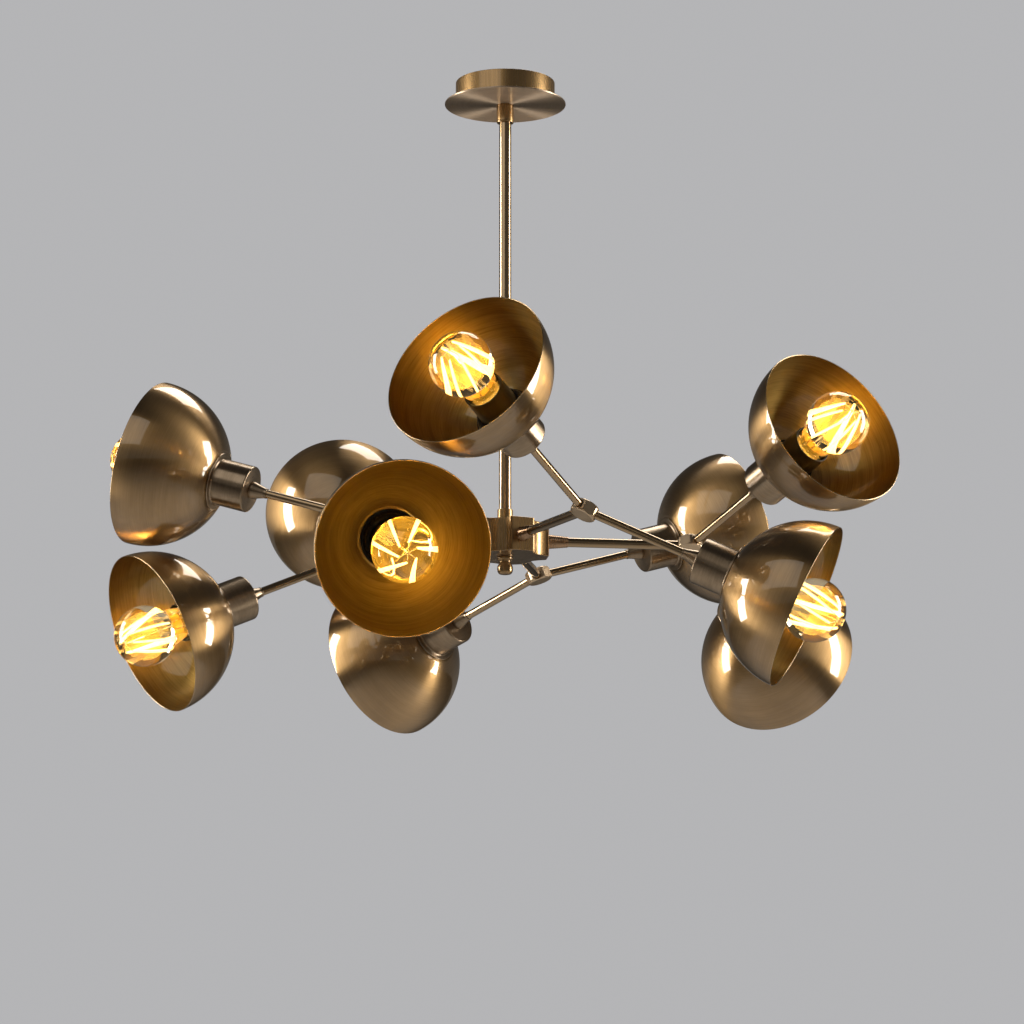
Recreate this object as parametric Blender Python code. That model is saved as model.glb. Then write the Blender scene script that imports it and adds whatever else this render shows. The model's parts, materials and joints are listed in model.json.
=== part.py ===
"""A hanging lamp with a star hub: five arms stand out from the hub, and a Y joint at the end of each arm
carries two rods, each with a cup, a hemispherical shade, a lamp holder and a round bulb.

Metres, +Z up, +Y away from the front. The origin is the middle of the ceiling bracket's top face, so the
whole lamp hangs below it. Turned pieces are outlines of (along, radius) points, spun round their own axis:
upright ones round Z, and those of an arm or a head round X, which points away from the hub or the joint.
"""

import math

import bmesh
import bpy
from mathutils import Matrix, Vector

# Clearances
GAP = 0.0003  # between two faces that meet
FIT = 0.0003  # round a tube, spigot or cap in its hole

# Ceiling plate
BRACKET_LENGTH = 0.084
BRACKET_WIDTH = 0.016
BRACKET_THICKNESS = 0.002
BRACKET_SCREW_SPREAD = 0.034
BRACKET_SCREW_RADIUS = 0.0026
BLOCK_LENGTH = 0.020
BLOCK_WIDTH = 0.012
BLOCK_HEIGHT = 0.009
BLOCK_OFFSET = 0.018  # lamp axis to the block's middle
DRUM_RADIUS = 0.0495
DRUM_HEIGHT = 0.021
DRUM_WALL = 0.0012
DISC_RADIUS = 0.0605
DISC_THICKNESS = 0.0015

# Hanging tube and what joins it
NIPPLE_RADIUS = 0.005
NIPPLE_BORE = 0.0037
NIPPLE_SEAT = 0.0065  # how far it runs into the coupler
COUPLER_RADIUS = 0.0085
COUPLER_HEIGHT = 0.0185
COUPLER_EDGE = 0.0008
STEM_RADIUS = 0.006
STEM_WALL = 0.001
STEM_LENGTH = 0.394  # in sight, coupler to collar
STEM_SEAT = 0.010  # length held at each end
COLLAR_RADIUS = 0.0076
COLLAR_HEIGHT = 0.014

# Star hub and the knob below it
HUB_RADIUS = 0.042  # axis to the flat end of each point
HUB_HEIGHT = 0.033
HUB_POINT_WIDTH = 0.023
HUB_FLANK_DEPTH = 0.006  # how far each flank curves in
HUB_FLANK_STEPS = 6
FINIAL_RADIUS = 0.0078
FINIAL_NECK_RADIUS = 0.0055
FINIAL_HEIGHT = 0.017
FINIAL_FLANGE = 0.0025  # thickness of the flange against the hub
FINIAL_NECK_TOP, FINIAL_NECK_LOW = 0.0035, 0.0065  # below the hub
FINIAL_BULGE_TOP = 0.0095
FINIAL_EDGE = 0.002
FINIAL_SPIGOT = 0.008

# Arms
ARM_REACH = 0.182  # hub axis to the middle of the Y joint
ARM_RADIUS = 0.0047
TUBE_WALL = 0.001
FERRULE_RADIUS = 0.0085
FERRULE_LENGTH = 0.017
FERRULE_LIP = 0.0008  # its thin end stands this far off the tube
ARM_DROOP = 0.8  # degrees below level
FIRST_AZIMUTH = 6.2  # degrees from +X towards +Y
ARM_TURN = {"a": -2.0, "b": 1.0, "c": 0.5, "d": 0.5, "e": 0.0}  # degrees off the even spacing
JOINT_ROLL = {"a": 25.0, "b": 19.5, "c": 27.0, "d": 20.0, "e": 29.0}  # degrees, set by hand

# Y joints
JOINT_RADIUS = 0.013
JOINT_HEIGHT = 0.013
JOINT_EDGE = 0.0018
SOCKET_DEPTH = 0.0075
WIRE_WAY = 0.0025
ROD_SPREAD = 60.0  # degrees from the arm's line to each rod

# Heads, measured along the rod
ROD_REACH = 0.1185  # middle of the Y joint to the cup's back
ROD_RADIUS = 0.004
CUP_RADIUS = 0.0225
CUP_LENGTH = 0.035
CUP_WALL = 0.0012
CUP_EDGE = 0.0012
FLANGE_RADIUS = 0.028
FLANGE_THICKNESS = 0.0015
SHADE_RADIUS = 0.080
SHADE_WALL = 0.0008
SEAT_RADIUS = 0.029  # of the flat on the back of the shade
HOLDER_RADIUS = 0.0195
HOLDER_REACH = 0.043  # in front of the shade's seat
HOLDER_TAIL = 0.015  # behind the seat, in the cup
MOUTH_RADIUS = 0.0175
MOUTH_DEPTH = 0.0095
RING_RADIUS = 0.0275
RING_THICKNESS = 0.011
BULB_RADIUS = 0.030
BULB_LENGTH = 0.105
CAP_RADIUS = 0.0130
CAP_LENGTH = 0.026
CAP_TAPER = 0.003  # at the contact end
CAP_SEAT = 0.0355  # how deep the bulb's foot sits in the holder
NECK_RADIUS = 0.0165
NECK_LENGTH = 0.010  # from the cap to where the glass starts to swell
GLOBE_SWEEP = 142.0  # degrees, from the tip back to the neck

# Flat sides and steps that stand for round shapes
SHADE_SIDES = 18
SHADE_STEPS = 4
CUP_SIDES = 12
BULB_SIDES = 10
BULB_STEPS = 5
TUBE_SIDES = 12
SOCKET_SIDES = 8
CANOPY_SIDES = 32
PUCK_SIDES = 16

# Levels along Z, from the ceiling down
DISC_TOP = -DRUM_HEIGHT - GAP
COUPLER_TOP = DISC_TOP - DISC_THICKNESS - GAP
COUPLER_BOTTOM = COUPLER_TOP - COUPLER_HEIGHT
COLLAR_TOP = COUPLER_BOTTOM - STEM_LENGTH
HUB_TOP = COLLAR_TOP - COLLAR_HEIGHT - GAP
HUB_MIDDLE = HUB_TOP - HUB_HEIGHT / 2
HUB_BOTTOM = HUB_TOP - HUB_HEIGHT

# Stations along a rod, from the Y joint's middle out
SOCKET_FLOOR = JOINT_RADIUS - SOCKET_DEPTH
SEAT = ROD_REACH + CUP_LENGTH
SHADE_BACK = SEAT + GAP
RIM = SHADE_BACK + math.sqrt(SHADE_RADIUS**2 - SEAT_RADIUS**2)
RING_BACK = SHADE_BACK + SHADE_WALL + GAP
HOLDER_FRONT = SEAT + HOLDER_REACH
BULB_FOOT = HOLDER_FRONT - CAP_SEAT


def hole_radius(radius, sides):
    """The corner radius of a hole with flat sides that clears a round piece of this radius all round."""
    return (radius + FIT) / math.cos(math.pi / sides)


HUB_BORE = hole_radius(STEM_RADIUS, TUBE_SIDES)
TUBE_HOLE = hole_radius(ARM_RADIUS, SOCKET_SIDES)
ROD_HOLE = hole_radius(ROD_RADIUS, SOCKET_SIDES)
NIPPLE_HOLE = hole_radius(NIPPLE_RADIUS, TUBE_SIDES)


def clear_scene():
    for old in list(bpy.data.objects):
        bpy.data.objects.remove(old, do_unlink=True)


def material(name, colour, roughness, metallic):
    made = bpy.data.materials.new(name)
    made.use_nodes = True
    shader = made.node_tree.nodes["Principled BSDF"]
    shader.inputs["Base Color"].default_value = (*colour, 1.0)
    shader.inputs["Roughness"].default_value = roughness
    shader.inputs["Metallic"].default_value = metallic
    return made


def placed(name, mesh, paint, parent):
    """A new object that holds the mesh, at its parent's place."""
    made = bpy.data.objects.new(name, mesh)
    bpy.context.scene.collection.objects.link(made)
    made.parent = parent
    if paint:
        made.data.materials.append(paint)
        made.data.shade_smooth()
        made.data.set_sharp_from_angle(angle=math.radians(32))
    return made


def place_frame(name, location, rotation, parent=None):
    """An empty to hang pieces on: rotation is a list of (degrees, axis), the first turned last."""
    turn = Matrix.Identity(4)
    for degrees, axis in rotation:
        turn = turn @ Matrix.Rotation(math.radians(degrees), 4, axis)
    empty = bpy.data.objects.new(name, None)
    bpy.context.scene.collection.objects.link(empty)
    empty.parent = parent
    empty.matrix_local = Matrix.Translation(location) @ turn
    return empty


def spun_mesh(name, outline, sides, upright, closed):
    """The outline turned round its axis. A closed outline makes a hollow piece, and an open one starts and
    ends on the axis."""
    body = bmesh.new()
    rings = []
    for along, radius in outline:
        ring = []
        for step in range(sides if radius > 0 else 1):
            angle = 2 * math.pi * step / sides
            across, up = radius * math.cos(angle), radius * math.sin(angle)
            point = (across, up, along) if upright else (along, across, up)
            ring.append(body.verts.new(point))
        rings.append(ring)
    pairs = list(zip(rings, rings[1:]))
    if closed:
        pairs.append((rings[-1], rings[0]))
    for first, second in pairs:
        for step in range(sides):
            after = (step + 1) % sides
            corners = [first[step % len(first)], first[after % len(first)]]
            corners += [second[after % len(second)], second[step % len(second)]]
            body.faces.new(list(dict.fromkeys(corners)))
    bmesh.ops.recalc_face_normals(body, faces=body.faces)
    mesh = bpy.data.meshes.new(name)
    body.to_mesh(mesh)
    body.free()
    return mesh


def turned(name, outline, paint, parent=None, sides=TUBE_SIDES, upright=False, closed=True):
    return placed(name, spun_mesh(name, outline, sides, upright, closed), paint, parent)


def prism_mesh(name, corners, low, high):
    """A flat outline in X and Y, pulled up from low to high."""
    body = bmesh.new()
    face = body.faces.new([body.verts.new((x, y, low)) for x, y in corners])
    grown = bmesh.ops.extrude_face_region(body, geom=[face])
    raised = [item for item in grown["geom"] if isinstance(item, bmesh.types.BMVert)]
    bmesh.ops.translate(body, verts=raised, vec=(0, 0, high - low))
    bmesh.ops.recalc_face_normals(body, faces=body.faces)
    mesh = bpy.data.meshes.new(name)
    body.to_mesh(mesh)
    body.free()
    return mesh


def cut(piece, cutter):
    """Take the cutter's shape out of the piece. The cutter stays as a hidden guide."""
    cutter.hide_render = True
    cutter.display_type = "WIRE"
    taken = piece.modifiers.new(cutter.name, "BOOLEAN")
    taken.operation = "DIFFERENCE"
    taken.solver = "EXACT"
    taken.object = cutter


def rod_cutter(name, radius, start, end, parent=None, upright=False, sides=SOCKET_SIDES):
    outline = [(start, 0), (start, radius), (end, radius), (end, 0)]
    return turned(name, outline, None, parent, sides=sides, upright=upright, closed=False)


def rectangle(length, width, middle_x=0.0):
    half, side = length / 2, width / 2
    return [
        (middle_x - half, -side),
        (middle_x + half, -side),
        (middle_x + half, side),
        (middle_x - half, side),
    ]


def build_ceiling_bracket(zinc):
    """A flat steel strip screwed to the ceiling, which the whole lamp hangs from."""
    corners = rectangle(BRACKET_LENGTH, BRACKET_WIDTH)
    strip = placed("ceiling_bracket", prism_mesh("strip", corners, -BRACKET_THICKNESS, 0), zinc, None)
    for side, spread in (("left", -BRACKET_SCREW_SPREAD), ("right", BRACKET_SCREW_SPREAD)):
        spot = place_frame(f"{side}_screw_place", (spread, 0, 0), [])
        through = (-2 * BRACKET_THICKNESS, BRACKET_THICKNESS)
        cut(strip, rod_cutter(f"{side}_screw_hole", BRACKET_SCREW_RADIUS, *through, spot, upright=True))


def build_terminal_block(white_plastic):
    """The wire connector, fixed under one end of the bracket."""
    top = -BRACKET_THICKNESS - GAP
    corners = rectangle(BLOCK_LENGTH, BLOCK_WIDTH, BLOCK_OFFSET)
    placed("terminal_block", prism_mesh("block", corners, top - BLOCK_HEIGHT, top), white_plastic, None)


def build_canopy(brass):
    """The shallow drum against the ceiling, and the wider thin disc that closes it from below."""
    floor, inside = -DRUM_HEIGHT, DRUM_RADIUS - DRUM_WALL
    drum = [(0, DRUM_RADIUS), (floor, DRUM_RADIUS), (floor, NIPPLE_HOLE)]
    drum += [(floor + DRUM_WALL, NIPPLE_HOLE), (floor + DRUM_WALL, inside), (0, inside)]
    turned("canopy_drum", drum, brass, sides=CANOPY_SIDES, upright=True)
    low = DISC_TOP - DISC_THICKNESS
    disc = [(DISC_TOP, DISC_RADIUS), (low, DISC_RADIUS), (low, NIPPLE_HOLE), (DISC_TOP, NIPPLE_HOLE)]
    turned("canopy_disc", disc, brass, sides=CANOPY_SIDES, upright=True)


def build_nipple(zinc):
    """The threaded tube from the bracket through drum and disc into the coupler."""
    top, low = -BRACKET_THICKNESS - GAP, COUPLER_TOP - NIPPLE_SEAT
    outline = [(top, NIPPLE_BORE), (top, NIPPLE_RADIUS), (low, NIPPLE_RADIUS), (low, NIPPLE_BORE)]
    turned("threaded_nipple", outline, zinc, upright=True)


def build_stem(brass):
    """Coupler, tube and lower collar. The tube turns in the coupler."""
    shoulder = COUPLER_BOTTOM + STEM_SEAT + GAP
    coupler = [
        (COUPLER_TOP, NIPPLE_HOLE),
        (COUPLER_TOP, COUPLER_RADIUS),
        (COUPLER_BOTTOM + COUPLER_EDGE, COUPLER_RADIUS),
        (COUPLER_BOTTOM, COUPLER_RADIUS - COUPLER_EDGE),
        (COUPLER_BOTTOM, HUB_BORE),
        (shoulder, HUB_BORE),
        (shoulder, NIPPLE_HOLE),
    ]
    turned("stem_coupler", coupler, brass, sides=CUP_SIDES, upright=True)
    top, low, bore = COUPLER_BOTTOM + STEM_SEAT, HUB_TOP - STEM_SEAT, STEM_RADIUS - STEM_WALL
    tube = [(top, bore), (top, STEM_RADIUS), (low, STEM_RADIUS), (low, bore)]
    turned("stem_tube", tube, brass, upright=True)
    under = COLLAR_TOP - COLLAR_HEIGHT
    collar = [(COLLAR_TOP, HUB_BORE), (COLLAR_TOP, COLLAR_RADIUS), (under, COLLAR_RADIUS), (under, HUB_BORE)]
    turned("stem_collar", collar, brass, sides=CUP_SIDES, upright=True)


def arc_between(start, end, depth, steps):
    """Points from start to end on the arc that lies this deep towards the hub's middle, ends left out."""
    start, end = Vector(start), Vector(end)
    chord = end - start
    half = chord.length / 2
    radius = (half**2 + depth**2) / (2 * depth)
    inward = -((start + end) / 2).normalized()
    centre = (start + end) / 2 - inward * (radius - depth)
    sweep = math.asin(half / radius)
    along = chord.normalized()
    points = []
    for step in range(1, steps):
        angle = -sweep + 2 * sweep * step / steps
        points.append(tuple(centre + radius * (math.sin(angle) * along + math.cos(angle) * inward)))
    return points


def hub_outline():
    """Five flat points joined by flanks that curve in."""
    ends = []
    for point in range(len(ARM_TURN)):
        angle = math.radians(FIRST_AZIMUTH + 360 * point / len(ARM_TURN))
        out = Vector((math.cos(angle), math.sin(angle)))
        across = Vector((-out.y, out.x)) * HUB_POINT_WIDTH / 2
        ends.append((tuple(out * HUB_RADIUS - across), tuple(out * HUB_RADIUS + across)))
    corners = []
    for point, (first, last) in enumerate(ends):
        following = ends[(point + 1) % len(ends)][0]
        corners += [first, last, *arc_between(last, following, HUB_FLANK_DEPTH, HUB_FLANK_STEPS)]
    return corners


def build_hub(brass, arm_frames):
    """The star casting, bored for the stem, the knob and the arm tubes."""
    hub = placed("hub", prism_mesh("star", hub_outline(), HUB_BOTTOM, HUB_TOP), brass, None)
    bore_ends = (HUB_BOTTOM - FINIAL_SPIGOT, HUB_TOP + FINIAL_SPIGOT)
    cut(hub, rod_cutter("hub_bore", HUB_BORE, *bore_ends, upright=True, sides=TUBE_SIDES))
    for letter, frame in arm_frames.items():
        cut(hub, rod_cutter(f"arm_bore_{letter}", TUBE_HOLE, 0, HUB_RADIUS + FERRULE_RADIUS, frame))


def build_finial(brass):
    """The turned knob under the hub: a spigot, a thin flange, a neck and a rounded bulge."""
    top = HUB_BOTTOM - GAP
    low = top - FINIAL_HEIGHT
    outline = [
        (HUB_BOTTOM + FINIAL_SPIGOT, 0),
        (HUB_BOTTOM + FINIAL_SPIGOT, STEM_RADIUS),
        (top, STEM_RADIUS),
        (top, FINIAL_RADIUS),
        (top - FINIAL_FLANGE, FINIAL_RADIUS),
        (top - FINIAL_NECK_TOP, FINIAL_NECK_RADIUS),
        (top - FINIAL_NECK_LOW, FINIAL_NECK_RADIUS),
        (top - FINIAL_BULGE_TOP, FINIAL_RADIUS),
        (low + FINIAL_EDGE, FINIAL_RADIUS),
        (low, FINIAL_NECK_RADIUS),
        (low, 0),
    ]
    turned("finial", outline, brass, sides=CUP_SIDES, upright=True, closed=False)


def ferrule(base, tip, tube_radius):
    """The outside of a cone that swells from the tube to its broad base, as stations and radii."""
    return [(tip, tube_radius), (tip, tube_radius + FERRULE_LIP), (base, FERRULE_RADIUS)]


def build_arm(letter, frame, brass):
    """A tube from inside the hub to inside its Y joint, with the cone that hides the hub's hole."""
    lean = math.radians(abs(ARM_TURN[letter]) + ARM_DROOP)
    base = HUB_RADIUS / math.cos(lean) + FERRULE_RADIUS * math.tan(lean) + GAP
    inner, outer = HUB_RADIUS - STEM_SEAT, ARM_REACH - SOCKET_FLOOR - GAP
    cone = ferrule(base, base + FERRULE_LENGTH, ARM_RADIUS)
    outline = [(outer, ARM_RADIUS), *cone, (base, ARM_RADIUS), (inner, ARM_RADIUS)]
    bore = ARM_RADIUS - TUBE_WALL
    turned(f"arm_{letter}", [*outline, (inner, bore), (outer, bore)], brass, frame)


def socket_cutter(name, frame, hole):
    """A tube socket with a narrow way for the wires behind it."""
    start, mouth = -WIRE_WAY, JOINT_RADIUS * 1.5
    narrow = [(start, 0), (start, WIRE_WAY), (SOCKET_FLOOR, WIRE_WAY)]
    wide = [(SOCKET_FLOOR, hole), (mouth, hole), (mouth, 0)]
    return turned(name, narrow + wide, None, frame, sides=SOCKET_SIDES, closed=False)


def build_y_joint(letter, frame, head_frames, brass):
    """A puck with three sockets in its edge: one looks back along the arm, two hold the rods."""
    half, edge = JOINT_HEIGHT / 2, JOINT_EDGE
    outline = [
        (-half, 0),
        (-half, JOINT_RADIUS - edge),
        (edge - half, JOINT_RADIUS),
        (half - edge, JOINT_RADIUS),
        (half, JOINT_RADIUS - edge),
        (half, 0),
    ]
    puck = turned(f"y_joint_{letter}", outline, brass, frame, sides=PUCK_SIDES, upright=True, closed=False)
    back = place_frame(f"arm_socket_{letter}_frame", (0, 0, 0), [(180, "Z")], frame)
    cut(puck, socket_cutter(f"arm_socket_{letter}", back, TUBE_HOLE))
    for number, head in head_frames.items():
        cut(puck, socket_cutter(f"rod_socket_{letter}{number}", head, ROD_HOLE))


def build_rod(tag, frame, brass):
    """Rod, cone and cup. The cup is a can, open to the front, with a thin flange that backs the shade."""
    start, inside = SOCKET_FLOOR + GAP, CUP_RADIUS - CUP_WALL
    bore, can_floor = ROD_RADIUS - TUBE_WALL, ROD_REACH + CUP_WALL
    cone = ferrule(ROD_REACH, ROD_REACH - FERRULE_LENGTH, ROD_RADIUS)
    outline = [
        (start, bore),
        (start, ROD_RADIUS),
        *cone,
        (ROD_REACH, CUP_RADIUS - CUP_EDGE),
        (ROD_REACH + CUP_EDGE, CUP_RADIUS),
        (SEAT - FLANGE_THICKNESS, CUP_RADIUS),
        (SEAT - FLANGE_THICKNESS, FLANGE_RADIUS),
        (SEAT, FLANGE_RADIUS),
        (SEAT, inside),
        (can_floor, inside),
        (can_floor, bore),
    ]
    turned(f"rod_and_cup_{tag}", outline, brass, frame, sides=CUP_SIDES)


def build_shade(tag, frame, brass):
    """A thin spun hemisphere with a flat seat and a round hole at its back."""
    hole = hole_radius(HOLDER_RADIUS, SHADE_SIDES)
    outline = [(SHADE_BACK, hole)]
    first = math.asin(SEAT_RADIUS / SHADE_RADIUS)
    for step in range(SHADE_STEPS + 1):
        angle = first + (math.pi / 2 - first) * step / SHADE_STEPS
        outline.append((RIM - SHADE_RADIUS * math.cos(angle), SHADE_RADIUS * math.sin(angle)))
    inner = SHADE_RADIUS - SHADE_WALL
    last = math.acos((RIM - SHADE_BACK - SHADE_WALL) / inner)
    for step in range(SHADE_STEPS + 1):
        angle = math.pi / 2 - (math.pi / 2 - last) * step / SHADE_STEPS
        outline.append((RIM - inner * math.cos(angle), inner * math.sin(angle)))
    outline.append((SHADE_BACK + SHADE_WALL, hole))
    turned(f"shade_{tag}", outline, brass, frame, sides=SHADE_SIDES)


def build_holder(tag, frame, bakelite):
    """The lamp holder with its shade ring: the tail sits in the cup, the mouth takes the bulb's cap."""
    tail, ring_front = SEAT - HOLDER_TAIL, RING_BACK + RING_THICKNESS
    bore = hole_radius(CAP_RADIUS, CUP_SIDES)
    mouth_floor = HOLDER_FRONT - MOUTH_DEPTH
    outline = [
        (tail, 0),
        (tail, HOLDER_RADIUS),
        (RING_BACK, HOLDER_RADIUS),
        (RING_BACK, RING_RADIUS),
        (ring_front, RING_RADIUS),
        (ring_front, HOLDER_RADIUS),
        (HOLDER_FRONT, HOLDER_RADIUS),
        (HOLDER_FRONT, MOUTH_RADIUS),
        (mouth_floor, MOUTH_RADIUS),
        (mouth_floor, bore),
        (BULB_FOOT - GAP, bore),
        (BULB_FOOT - GAP, 0),
    ]
    turned(f"lamp_holder_{tag}", outline, bakelite, frame, sides=CUP_SIDES, closed=False)


def build_bulb(tag, frame, glass):
    """A round bulb: screw cap, neck and globe."""
    centre, tip = BULB_FOOT + BULB_LENGTH - BULB_RADIUS, BULB_FOOT + BULB_LENGTH
    shoulder = BULB_FOOT + CAP_LENGTH + NECK_LENGTH
    outline = [
        (BULB_FOOT, 0),
        (BULB_FOOT, CAP_RADIUS / 2),
        (BULB_FOOT + CAP_TAPER, CAP_RADIUS),
        (BULB_FOOT + CAP_LENGTH, CAP_RADIUS),
        (shoulder, NECK_RADIUS),
    ]
    first = math.radians(GLOBE_SWEEP)
    for step in range(BULB_STEPS):
        angle = first * (1 - step / BULB_STEPS)
        outline.append((centre + BULB_RADIUS * math.cos(angle), BULB_RADIUS * math.sin(angle)))
    outline.append((tip, 0))
    turned(f"bulb_{tag}", outline, glass, frame, sides=BULB_SIDES, closed=False)


def arm_frames():
    """One frame for each arm, at the hub's middle, with X out along the arm."""
    frames = {}
    for point, (letter, turn) in enumerate(ARM_TURN.items()):
        azimuth = FIRST_AZIMUTH + 360 * point / len(ARM_TURN) + turn
        rotation = [(azimuth, "Z"), (ARM_DROOP, "Y")]
        frames[letter] = place_frame(f"arm_{letter}_frame", (0, 0, HUB_MIDDLE), rotation)
    return frames


def build_lamp():
    clear_scene()
    brass = material("antique_brass", (0.30, 0.20, 0.11), 0.32, 1.0)
    cast_brass = material("satin_cast_brass", (0.48, 0.36, 0.24), 0.42, 1.0)
    zinc = material("zinc_plated_steel", (0.55, 0.56, 0.58), 0.40, 1.0)
    bakelite = material("black_bakelite", (0.012, 0.010, 0.009), 0.45, 0.0)
    glass = material("clear_glass", (1.0, 0.86, 0.60), 0.05, 0.0)
    white_plastic = material("white_plastic", (0.80, 0.80, 0.78), 0.50, 0.0)

    build_ceiling_bracket(zinc)
    build_terminal_block(white_plastic)
    build_canopy(brass)
    build_nipple(zinc)
    build_stem(brass)
    frames = arm_frames()
    build_hub(brass, frames)
    build_finial(brass)
    for letter, frame in frames.items():
        build_arm(letter, frame, brass)
        joint = place_frame(f"joint_{letter}_frame", (ARM_REACH, 0, 0), [(-JOINT_ROLL[letter], "X")], frame)
        heads = {}
        for number, spread in ((1, -ROD_SPREAD), (2, ROD_SPREAD)):
            heads[number] = place_frame(f"head_{letter}{number}_frame", (0, 0, 0), [(spread, "Z")], joint)
        build_y_joint(letter, joint, heads, cast_brass)
        for number, head in heads.items():
            tag = f"{letter}{number}"
            build_rod(tag, head, brass)
            build_shade(tag, head, brass)
            build_holder(tag, head, bakelite)
            build_bulb(tag, head, glass)
    bpy.context.view_layer.update()


build_lamp()
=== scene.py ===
"""A hanging brass lamp: canopy, stem, star hub, five arms, and a pair of domed heads on each Y joint."""

import json
import math

import bmesh
import bpy
from mathutils import Matrix, Vector


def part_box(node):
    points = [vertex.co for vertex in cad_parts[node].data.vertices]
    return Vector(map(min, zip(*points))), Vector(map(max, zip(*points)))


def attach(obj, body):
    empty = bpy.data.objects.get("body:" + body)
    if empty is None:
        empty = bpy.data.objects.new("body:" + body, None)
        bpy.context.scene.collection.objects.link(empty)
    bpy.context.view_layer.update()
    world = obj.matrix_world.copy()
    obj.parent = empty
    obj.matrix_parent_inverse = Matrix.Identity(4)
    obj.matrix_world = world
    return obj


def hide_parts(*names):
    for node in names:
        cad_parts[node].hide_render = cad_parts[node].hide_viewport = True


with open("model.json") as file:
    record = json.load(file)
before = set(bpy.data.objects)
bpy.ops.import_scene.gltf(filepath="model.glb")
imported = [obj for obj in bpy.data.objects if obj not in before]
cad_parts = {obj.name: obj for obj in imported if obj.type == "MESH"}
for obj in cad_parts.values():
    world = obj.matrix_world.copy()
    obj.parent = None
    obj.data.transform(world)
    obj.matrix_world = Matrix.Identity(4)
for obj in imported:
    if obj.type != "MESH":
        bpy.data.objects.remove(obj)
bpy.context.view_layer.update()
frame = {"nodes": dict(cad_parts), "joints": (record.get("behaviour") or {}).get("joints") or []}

# ---------------------------------------------------------------- camera
# A long lens, held without tilt to either side, looks up at the lamp, which hangs above eye height.
CAMERA_PLACE = (0.0, -3.791, -1.1898)
CAMERA_PITCH = 11.219  # degrees above level
CAMERA_YAW = 0.102  # degrees to the right
LENS = 138.59
SENSOR = 36.0

lens = bpy.data.cameras.new("camera")
lens.lens = LENS
lens.sensor_width = SENSOR
lens.clip_end = 60.0
camera = bpy.data.objects.new("camera", lens)
camera.location = CAMERA_PLACE
camera.rotation_euler = (math.radians(90 + CAMERA_PITCH), 0.0, math.radians(-CAMERA_YAW))
bpy.context.scene.collection.objects.link(camera)
bpy.context.scene.camera = camera

# ---------------------------------------------------------------- studio
# A pale floor far below the lamp, a pale grey room, and soft boxes: a tall one on each side, a broad dim one
# in front and a smaller one behind and above. The brass mirrors a room that is dark above and paler below.
FLOOR_LEVEL = -1.75
FLOOR_SIZE = 30.0
FLOOR_COLOUR = (0.50, 0.49, 0.48)
FLOOR_PALE = (0.36, 0.36, 0.36)  # added where the floor is seen, so that it stays pale far from the lamp
ROOM_GREY = (0.46, 0.46, 0.47)  # seen behind the lamp
ROOM_DARK = (0.035, 0.032, 0.029)  # mirrored in the brass from above
ROOM_LOW = (0.24, 0.225, 0.20)  # mirrored in the brass from below
BOX_COLOUR = (1.0, 0.94, 0.85)
LAMP_MIDDLE = (0.0, 0.0, -0.42)

scene = bpy.context.scene
scene.view_settings.view_transform = "Standard"


def paint_nodes(name):
    """A new material and its node tree, emptied."""
    made = bpy.data.materials.new(name)
    made.use_nodes = True
    made.node_tree.nodes.clear()
    return made, made.node_tree


def node(tree, kind, inputs=(), **settings):
    """Adds a node. inputs pairs a socket's name or number with a value, or with another node's output."""
    made = tree.nodes.new(kind)
    for key, value in settings.items():
        setattr(made, key, value)
    for socket, value in inputs:
        if isinstance(value, bpy.types.NodeSocket):
            tree.links.new(value, made.inputs[socket])
        else:
            made.inputs[socket].default_value = value
    return made


def colour_between(tree, share, first, second):
    """A colour that goes from the first to the second with share. Each may be another node's output."""
    ends = [end if isinstance(end, bpy.types.NodeSocket) else (*end, 1.0) for end in (first, second)]
    mixed = node(tree, "ShaderNodeMix", [("Factor", share), (6, ends[0]), (7, ends[1])], data_type="RGBA")
    return mixed.outputs[2]


def surface(tree, inputs):
    """Ends a material's tree with a surface that has these inputs."""
    shader = node(tree, "ShaderNodeBsdfPrincipled", inputs)
    node(tree, "ShaderNodeOutputMaterial", [("Surface", shader.outputs[0])])


room = bpy.data.worlds.new("room")
room.use_nodes = True
room_tree = room.node_tree
room_tree.nodes.clear()
rays = node(room_tree, "ShaderNodeLightPath")
direction = node(room_tree, "ShaderNodeTexCoord")
height = node(room_tree, "ShaderNodeSeparateXYZ", [(0, direction.outputs["Generated"])])
up_share = node(room_tree, "ShaderNodeMapRange", [(0, height.outputs["Z"]), (1, -1.0), (2, 1.0)])
walls = node(room_tree, "ShaderNodeValToRGB", [(0, up_share.outputs[0])])
walls.color_ramp.elements[0].color = (*ROOM_LOW, 1.0)
walls.color_ramp.elements[0].position = 0.30
walls.color_ramp.elements[1].color = (*ROOM_DARK, 1.0)
walls.color_ramp.elements[1].position = 0.75
seen_room = colour_between(room_tree, rays.outputs["Is Camera Ray"], walls.outputs[0], ROOM_GREY)
room_light = node(room_tree, "ShaderNodeBackground", [("Color", seen_room), ("Strength", 1.0)])
node(room_tree, "ShaderNodeOutputWorld", [("Surface", room_light.outputs[0])])
scene.world = room

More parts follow.
